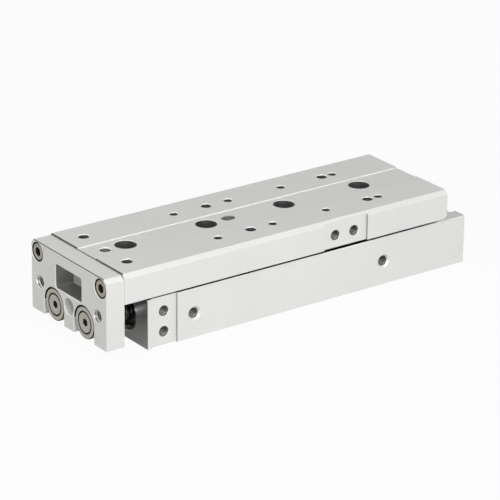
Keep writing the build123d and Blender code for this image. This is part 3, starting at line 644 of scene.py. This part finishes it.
@dataclass
class SlidingTable:
    """The table with its tapped top and side.

    Attributes:
        top: The height of its top, in millimetres.
        front: The place of its front end along X.
        edge: The width of its broken edges.
        drawn_edge: The width of the broken edge at its top front, which painted shade draws as a dark line.
        tap_line: How far its tapped holes stand from the middle.
        tap_reach: A radius that takes in its holes with their chamfers.
        tap_depth: The depth of the holes in its top.
        tap_chamfer: The depth of those holes' chamfers.
        large_taps: The places of its M5 holes along X.
        small_taps: The places of its M4 holes along X.
        side_wall: The place of its milled side seat along Y.
        seat_ends: The places of the seat's ends along X.
        seat_reach: Half the height of those ends, or more.
        side_taps: The places of the seat's holes along X.
        side_height: The height of the seat's holes.
        side_depth: The depth of the seat's holes.
        access_holes: The places of its access holes along X.
        access_radius: Their radius.
        dowel_length: The length of its dowel slot.
        hole_depth: The thickness of its top.
        underside: The height of its underside.
    """

    top: float = 39.5
    front: float = 105.0
    edge: float = 0.15
    drawn_edge: float = 0.5
    tap_line: float = 17.9
    tap_reach: float = 3.0
    tap_depth: float = 5.3
    tap_chamfer: float = 0.45
    large_taps: tuple[float, ...] = (94.8, 26.3, -42.2)
    small_taps: tuple[float, ...] = (44.8, 13.7, -17.4, -48.5)
    side_wall: float = 30.3
    seat_ends: tuple[float, ...] = (-6.7, -32.0)
    seat_reach: float = 8.0
    side_taps: tuple[float, ...] = (-13.6, -24.6)
    side_height: float = 31.4
    side_depth: float = 6.0
    access_holes: tuple[float, ...] = (83.7, 38.8, -6.1, -51.0)
    access_radius: float = 5.15
    dowel_length: float = 7.0
    hole_depth: float = 6.5
    underside: float = 25.3

    def build(self) -> None:
        """Dresses the table and cuts its threads."""
        middle = self.top - self.hole_depth / 2
        walls = [round_region(2, (x, 0.0, middle), self.access_radius, self.hole_depth, finish=DRILLED)
                 for x in self.access_holes]
        # The walls of the tapped holes, here and in the side seat, take the tapped finish's painted shade.
        walls += [round_region(2, (x, sign * self.tap_line, middle), self.tap_reach, self.hole_depth, finish=TAPPED)
                  for sign in SIDES.values() for x in self.large_taps + self.small_taps]
        slot_reach = (self.dowel_length / 2, M5.diameter / 2, self.hole_depth / 2)
        walls += [Region(2, (x, 0.0, middle), slot_reach, square=True) for x in self.large_taps[:2]]
        walls += [round_region(1, (x, self.side_wall - self.side_depth / 2, self.side_height), self.tap_reach,
                               self.side_depth, finish=TAPPED) for x in self.side_taps]
        walls.append(Region(0, (0.0, 0.0, self.underside), (self.front, PAST_SIDES, THIN), square=True,
                            finish=GROUND_FLAT, lean=ANY_FACE))
        # The seat's end walls take the milled finish's painted shade.
        walls += [Region(1, (x, 0.0, self.side_height), (THIN, PAST_SIDES, self.seat_reach), square=True,
                         finish=MILLED) for x in self.seat_ends]
        MachinedCopy("table", self.edge, walls, drawn_edge=self.drawn_edge).build()
        down = (0.0, 0.0, -1.0)
        top = [TappedHole(size, (x, sign * self.tap_line, self.top), down, self.tap_depth, self.tap_chamfer)
               for sign in SIDES.values() for size, places in ((M5, self.large_taps), (M4, self.small_taps))
               for x in places]
        # The threads take the same painted shade.
        threads("table_top_threads", "table", TAPPED, top)
        side = [TappedHole(M5, (x, self.side_wall, self.side_height), (0.0, -1.0, 0.0), self.side_depth)
                for x in self.side_taps]
        threads("table_side_threads", "table", TAPPED, side)


@dataclass
class EndPlate:
    """The plate on the table's front end, with its screws.

    Attributes:
        front: The place of its front face along X, in millimetres.
        thickness: Its thickness.
        edge: The width of its broken edges.
        drawn_edge: The width of the broken edge at its top front, which painted shade draws as a dark line.
        screw_edge: The width of its screws' broken edges.
        tap_line: How far its tapped holes stand from the middle.
        tap_height: The height of its tapped holes.
        screw_line: How far its screws stand from the middle.
        screw_height: The height of its screws.
        screw_radius: The radius of their counterbores.
        window_height: The height of the middle of its window.
        window_reach: Half the window's width and height.
        joint_line: How far its two joint slots stand from the middle.
        joint_height: The height of the slots' round ends.
        joint_radius: The radius of those ends.
        joint_gap: The width of the oily gap round the bushes in the slots.
        slot_reach: Half the width and height of a box that holds a slot's rim.
        slot_drop: How far that box's middle stands below the slot's round end.
        screw_face: The radius of the flat of its screws' heads.
        socket_radius: The radius of those screws' sockets, across the corners.
        head_depth: How far behind the plate's faces those sockets begin, or more.
        bore_height: The height of its centre bore.
        bore_radius: The radius of its centre bore.
        relief_height: The height of the middle of the groove along its top rear edge.
        relief_reach: Half that groove's size along X and Z, or more.
        rim_width: The width of the broken rims of its window, bore and slots.
    """

    front: float = 114.7
    thickness: float = 9.7
    edge: float = 0.3
    drawn_edge: float = 0.3
    screw_edge: float = 0.08
    tap_line: float = 24.0
    tap_height: float = 19.6
    screw_line: float = 26.2
    screw_height: float = 33.6
    screw_radius: float = 4.65
    window_height: float = 27.2
    window_reach: tuple[float, float] = (10.7, 5.8)
    joint_line: float = 12.5
    joint_height: float = 12.2
    joint_radius: float = 8.3
    # joint_gap: The width of the gap round the bushes in the slots, whose wall takes painted shade.
    joint_gap: float = 0.3
    slot_reach: tuple[float, float] = (8.4, 9.5)
    slot_drop: float = 1.0
    screw_face: float = 3.9
    socket_radius: float = 2.4
    head_depth: float = 0.6
    bore_height: float = 15.7
    bore_radius: float = 3.9
    relief_height: float = 38.5
    relief_reach: tuple[float, float] = (0.6, 0.55)
    rim_width: float = 0.3

    def build(self) -> None:
        """Dresses the plate, its screws and its threads."""
        middle = self.front - self.thickness / 2
        window = (middle, 0.0, self.window_height)
        relief = (self.front - self.thickness, 0.0, self.relief_height)
        # The groove along the top rear edge, the counterbore walls and the gap round each bush take dark painted
        # shade.
        walls = [Region(0, window, (self.thickness / 2, *self.window_reach), square=True),
                 Region(1, relief, (self.relief_reach[0], PAST_SIDES, self.relief_reach[1]), square=True,
                        finish=DARK_PAINTED_SHADE, lean=ANY_FACE)]
        heads = []
        rims = [Region(0, window, (self.thickness, *self.window_reach), square=True),
                round_region(0, (middle, 0.0, self.bore_height), self.bore_radius, 2 * self.thickness)]
        for sign in SIDES.values():
            tap = (middle, sign * self.tap_line, self.tap_height)
            screw = (middle, sign * self.screw_line, self.screw_height)
            joint = (middle, sign * self.joint_line, self.joint_height)
            slot = (middle, sign * self.joint_line, self.joint_height - self.slot_drop)
            walls += [round_region(0, tap, M6.diameter / 2, self.thickness),
                      round_region(0, screw, self.screw_radius, self.thickness, finish=DARK_PAINTED_SHADE),
                      round_region(0, joint, self.joint_radius, self.thickness, finish=DARK_PAINTED_SHADE,
                                   core=self.joint_radius - self.joint_gap)]
            # The screws' head rims take dark painted shade.
            heads += [round_region(0, screw, self.screw_radius, self.thickness, finish=DARK_PAINTED_SHADE,
                                   core=self.screw_face, lean=SLOPES),
                      # The screws' sockets take the socket's painted shade.
                      round_region(0, screw, self.socket_radius, self.thickness - 2 * self.head_depth,
                                   finish=SOCKET, lean=ANY_FACE)]
            rims.append(Region(0, slot, (self.thickness, *self.slot_reach), square=True))
        MachinedCopy("end_plate", self.edge, walls, drawn_edge=self.drawn_edge, rims=rims,
                     rim_width=self.rim_width).build()
        MachinedCopy("end_plate_screws", self.screw_edge, heads).build()
        holes = [TappedHole(M6, (self.front, sign * self.tap_line, self.tap_height), (-1.0, 0.0, 0.0), self.thickness)
                 for sign in SIDES.values()]
        threads("end_plate_threads", "table", BORED, holes)


@dataclass
class CylinderBody:
    """The body block with its ports and side seat.

    Attributes:
        side: The place of its left side along Y, in millimetres.
        edge: The width of its broken edges.
        ports: The places of its ports along X.
        port_height: The height of its ports.
        port_depth: The depth of its ports.
        port_chamfer: The depth of the ports' chamfers.
        top: The height of its top.
        seat_wall: The place of its milled side seat along Y.
        seat_rear: The place of the seat's rear end along X.
        seat_tap: The place of the seat's holes along X.
        seat_heights: The heights of the seat's holes.
        seat_depth: The depth of the seat's holes.
        front: The place of its front end along X.
        bore_line: How far its two bores stand from the middle.
        bore_height: The height of its bores.
        seat_radius: The radius of the bores' gland seats.
        mount_holes: The places of its mounting holes along X.
        mount_height: Half the length of its mounting holes.
        mount_radius: The radius of their counterbores.
    """

    side: float = 31.0
    edge: float = 0.15
    ports: tuple[float, ...] = (67.0, -42.5)
    port_height: float = 11.8
    port_depth: float = 7.0
    port_chamfer: float = 1.0
    top: float = 24.0
    seat_wall: float = 29.9
    seat_rear: float = 76.3
    seat_tap: float = 83.1
    seat_heights: tuple[float, ...] = (6.5, 16.6)
    seat_depth: float = 6.0
    front: float = 92.5
    bore_line: float = 12.5
    bore_height: float = 12.2
    seat_radius: float = 8.7
    mount_holes: tuple[float, ...] = (83.7, 38.8, -6.1, -51.0)
    mount_height: float = 11.0
    mount_radius: float = 4.75

    def build(self) -> None:
        """Dresses the body and cuts its threads."""
        # The walls of the ports and the seat's tapped holes take the tapped finish's painted shade.
        walls = [round_region(1, (x, sign * (self.side - self.port_depth / 2), self.port_height),
                              M5.diameter / 2, self.port_depth, finish=TAPPED)
                 for x in self.ports for sign in SIDES.values()]
        walls += [round_region(1, (self.seat_tap, self.seat_wall - self.seat_depth / 2, z), M5.diameter / 2,
                               self.seat_depth, finish=TAPPED) for z in self.seat_heights]
        walls += [round_region(0, (0.0, sign * self.bore_line, self.bore_height), self.seat_radius, 2 * self.front)
                  for sign in SIDES.values()]
        walls += [round_region(2, (x, 0.0, self.mount_height), self.mount_radius, self.mount_height * 2)
                  for x in self.mount_holes]
        half = self.top / 2
        # The body's front end and the seat's rear end take the milled finish's painted shade.
        walls += [Region(1, (x, 0.0, half), (THIN, self.side, half), square=True, finish=MILLED)
                  for x in (self.front, self.seat_rear)]
        walls.append(Region(0, (0.0, 0.0, self.top), (self.front, self.side, THIN), square=True, finish=GROUND_FLAT,
                            lean=ANY_FACE))
        MachinedCopy("body", self.edge, walls).build()
        inwards = (0.0, -1.0, 0.0)
        ports = [TappedHole(M5, (x, self.side, self.port_height), inwards, self.port_depth, self.port_chamfer)
                 for x in self.ports]
        # The threads take the same painted shade.
        threads("port_threads", "body", TAPPED, ports)
        seat = [TappedHole(M5, (self.seat_tap, self.seat_wall, z), inwards, self.seat_depth)
                for z in self.seat_heights]
        threads("body_seat_threads", "body", TAPPED, seat)
        dress("port_plugs")


@dataclass
class RollerGuide:
    """The crossed-roller guide between the body and the table."""

    def build(self) -> None:
        """Dresses the rails, cages, rollers, stops and screws."""
        for node in ("guide_rail", "guide_rail_screws", "front_cage_stop", "front_cage_stop_screws",
                     "rear_cage_stops", "rear_cage_stop_screws"):
            dress(node)
        for side in SIDES:
            for node in ("outer_rail", "outer_rail_screws", "roller_cage", "rollers"):
                dress(f"{node}_{side}")


@dataclass
class Cylinder:
    """One of the two cylinders, with its rod, piston and joint.

    Attributes:
        side: "left" or "right".
        axis_y: The place of its axis along Y, in millimetres.
        axis_z: The height of its axis.
        bush_face: The place of its joint's face along X.
        bush_edge: The width of its floating bush's broken edges.
        recess_radius: The radius of the recess in that bush.
        recess_length: The length of a stretch round that face that takes in the recess.
        recess_wall: The depth within the recess's wall that takes its finish.
        bolt_edge: The width of its joint bolt's broken edges.
        bolt_face: The radius of the flat of that bolt's head.
        socket_radius: The radius of that bolt's socket, across the corners.
        socket_length: The length of a stretch that takes in the socket.
        socket_lean: How far the socket's faces may lean, as a cosine, so that its bottom cone is held too.
    """

    side: str
    axis_y: float
    axis_z: float = 12.2
    bush_face: float = 114.2
    bush_edge: float = 0.2
    recess_radius: float = 5.4
    recess_length: float = 7.0
    recess_wall: float = 0.1
    bolt_edge: float = 0.12
    bolt_face: float = 4.8
    socket_radius: float = 1.9
    socket_length: float = 4.0
    socket_lean: float = 0.95

    def build(self) -> None:
        """Dresses every piece that is turned about the cylinder's axis."""
        for node in ("piston_rod", "piston", "piston_screw", "piston_seal", "piston_magnet", "joint_collar",
                     "rod_gland", "rod_seal", "gland_o_ring", "gland_circlip",
                     "rod_bumper", "head_cap", "head_o_ring", "head_circlip", "head_bumper"):
            dress(f"{node}_{self.side}", self.axis_y, self.axis_z)
        middle = (self.bush_face, self.axis_y, self.axis_z)
        axis = (self.axis_y, self.axis_z)
        # The recess's wall, the bush's and the bolt's broken edges and the bolt's rim take dark painted shade.
        recess = round_region(0, middle, self.recess_radius, self.recess_length, finish=DARK_PAINTED_SHADE,
                              core=self.recess_radius - self.recess_wall)
        MachinedCopy(f"floating_bush_{self.side}", self.bush_edge, [recess], edge_finish=DARK_PAINTED_SHADE, axis=axis).build()
        rim = round_region(0, middle, self.recess_radius, self.recess_length, finish=DARK_PAINTED_SHADE, core=self.bolt_face,
                           lean=SLOPES)
        # The bolt's socket takes the socket's painted shade.
        socket = round_region(0, middle, self.socket_radius, self.socket_length, finish=SOCKET,
                              lean=self.socket_lean)
        MachinedCopy(f"joint_bolt_{self.side}", self.bolt_edge, [rim, socket], edge_finish=DARK_PAINTED_SHADE, axis=axis).build()


@dataclass(frozen=True)
class Softbox:
    """A square lamp.

    Attributes:
        name: Its name.
        place: Where it stands, in metres.
        size: Its width in metres.
        power: Its power in watts.
    """

    name: str
    place: tuple[float, float, float]
    size: float
    power: float

    def build(self, aim: tuple[float, float, float]) -> None:
        """Makes the lamp and turns it to a point.

        Args:
            aim: The point, in metres.
        """
        lamp = bpy.data.objects.new(self.name, bpy.data.lights.new(self.name, "AREA"))
        bpy.context.scene.collection.objects.link(lamp)
        lamp.data.shape = "SQUARE"
        lamp.data.size = self.size
        lamp.data.energy = self.power
        lamp.location = self.place
        lamp.rotation_euler = (Vector(self.place) - Vector(aim)).to_track_quat("Z", "Y").to_euler()


@dataclass
class Studio:
    """The floor, the lamps, the backdrop's light and the camera.

    Attributes:
        camera_place: Where the camera stands, in metres.
        camera_turn: Its rotation as a quaternion, w first.
        lens: Its focal length in millimetres.
        sensor: The width of its sensor in millimetres.
        floor_size: The floor's width in metres.
        floor_drop: How far it lies below the object, in millimetres, so that no two faces meet.
        floor_share: How much of the floor, as the camera sees it, is its own white light. The rest is a plain
            white that takes shadows.
        gloss_share: The same for the floor as a gloss or a clear piece shows it.
        floor_colour: The colour of that plain white.
        world_strength: The strength of the world's light on surfaces that aren't glossy.
        zenith: The world's colour overhead. At the horizon it is white.
        fade: Where the world's colour leaves white and where it reaches the zenith's, as heights from 0 at the
            horizon to 1 overhead.
        aim: The point that the lamps are turned to, in metres.
        softboxes: The lamps. Those at the left and in front are low, so that the sides are brighter than the top.
    """

    camera_place: tuple[float, float, float] = (0.73558, 0.98358, 0.51882)
    camera_turn: tuple[float, float, float, float] = (0.25362, 0.17688, 0.52868, 0.79050)
    lens: float = 201.47
    sensor: float = 36.0
    floor_size: float = 8.0
    floor_drop: float = 0.05
    floor_share: float = 0.95
    gloss_share: float = 0.15
    floor_colour: str = "B4B4B4"
    world_strength: float = 0.6
    zenith: str = "89898B"
    fade: tuple[float, float] = (0.05, 0.9)
    aim: tuple[float, float, float] = (0.0, 0.0, 0.02)
    softboxes: tuple[Softbox, ...] = (
        Softbox("key_softbox", (0.35, 1.2, 0.45), 1.2, 7.0),
        Softbox("high_side_softbox", (0.1, 0.9, 0.6), 0.9, 5.0),
        Softbox("rear_side_softbox", (-0.7, 1.2, 0.25), 1.0, 2.2),
        Softbox("front_side_softbox", (0.9, 1.0, 0.25), 1.0, 3.0),
        Softbox("high_front_side_softbox", (1.0, 0.9, 0.9), 1.2, 3.0),
        Softbox("overhead_softbox", (0.0, 0.0, 1.3), 1.8, 0.4),
        Softbox("front_softbox", (0.8, 0.0, 1.1), 1.2, 7.9),
    )

    def build(self) -> None:
        """Sets the studio up."""
        self._camera()
        self._floor()
        self._world()
        for softbox in self.softboxes:
            softbox.build(self.aim)
        bpy.context.scene.view_settings.view_transform = "Standard"

    def _camera(self) -> None:
        """Makes the camera that sees the object as in the photograph."""
        camera = bpy.data.objects.new("camera", bpy.data.cameras.new("camera"))
        bpy.context.scene.collection.objects.link(camera)
        camera.data.lens = self.lens
        camera.data.sensor_width = self.sensor
        camera.rotation_mode = "QUATERNION"
        camera.location = self.camera_place
        camera.rotation_quaternion = self.camera_turn
        bpy.context.scene.camera = camera

    @staticmethod
    def _seen(tree: bpy.types.NodeTree, camera_share: float, gloss_share: float) -> bpy.types.NodeSocket:
        """Adds nodes that tell how a ray that meets the surface is looking.

        Args:
            tree: The node tree.
            camera_share: What to give for a ray from the camera.
            gloss_share: What to give for a ray from a gloss or through a clear piece.

        Returns:
            The output, which is 0 for any other ray.
        """
        path = add(tree, "ShaderNodeLightPath")
        glossy, clear = path.outputs["Is Glossy Ray"], path.outputs["Is Transmission Ray"]
        shown = add(tree, "ShaderNodeMath", {0: glossy, 1: clear}, operation="MAXIMUM")
        gloss = add(tree, "ShaderNodeMath", {0: shown.outputs[0], 1: gloss_share}, operation="MULTIPLY")
        camera = add(tree, "ShaderNodeMath", {0: path.outputs["Is Camera Ray"], 1: camera_share},
                     operation="MULTIPLY")
        return add(tree, "ShaderNodeMath", {0: camera.outputs[0], 1: gloss.outputs[0]},
                   operation="MAXIMUM").outputs[0]

    def _floor(self) -> None:
        """Makes the floor, white to the eye with a faint shadow."""
        half, drop = self.floor_size / 2, self.floor_drop * MM
        corners = np.array([[-half, -half, -drop], [half, -half, -drop], [half, half, -drop], [-half, half, -drop]])
        mesh = bpy.data.meshes.new("floor")
        mesh.from_pydata(corners, [], [[0, 1, 2, 3]])
        floor = bpy.data.objects.new("floor", mesh)
        bpy.context.scene.collection.objects.link(floor)
        surface = bpy.data.materials.new("white_studio_floor")
        surface.use_nodes = True
        tree = surface.node_tree
        tree.nodes.clear()
        share = self._seen(tree, self.floor_share, self.gloss_share)
        matt = add(tree, "ShaderNodeBsdfDiffuse", {"Color": linear(self.floor_colour)})
        light = add(tree, "ShaderNodeEmission", {"Color": linear("FFFFFF"), "Strength": 1.0})
        mixed = add(tree, "ShaderNodeMixShader", {0: share, 1: matt.outputs[0], 2: light.outputs[0]})
        add(tree, "ShaderNodeOutputMaterial", {"Surface": mixed.outputs[0]})
        mesh.materials.append(surface)

    def _world(self) -> None:
        """Makes the world's light: white at the horizon and darker overhead, as in a room with a white backdrop."""
        world = bpy.data.worlds.new("studio")
        bpy.context.scene.world = world
        world.use_nodes = True
        tree = world.node_tree
        tree.nodes.clear()
        strength = add(tree, "ShaderNodeMapRange", {
            "Value": self._seen(tree, 1.0, 1.0), "To Min": self.world_strength, "To Max": 1.0})
        direction = add(tree, "ShaderNodeTexCoord").outputs["Generated"]
        height = add(tree, "ShaderNodeSeparateXYZ", {0: direction}).outputs["Z"]
        rise = add(tree, "ShaderNodeMapRange", {"Value": height, "From Min": self.fade[0], "From Max": self.fade[1]},
                   interpolation_type="SMOOTHSTEP")
        colour = add(tree, "ShaderNodeMix", {0: rise.outputs["Result"], 6: linear("FFFFFF"), 7: linear(self.zenith)},
                     data_type="RGBA")
        light = add(tree, "ShaderNodeBackground", {
            "Color": colour.outputs[2], "Strength": strength.outputs["Result"]})
        add(tree, "ShaderNodeOutputWorld", {"Surface": light.outputs[0]})


def main() -> None:
    """Builds the object's looks piece by piece, then the studio."""
    logging.basicConfig(level=logging.INFO, format="%(name)s: %(message)s")
    cylinders = [Cylinder(side, sign * CylinderBody.bore_line) for side, sign in SIDES.items()]
    for part in (SlidingTable(), EndPlate(), CylinderBody(), RollerGuide(), *cylinders, Studio()):
        part.build()
        log.info("%s built", type(part).__name__)
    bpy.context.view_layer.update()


if __name__ == "__main__":
    main()
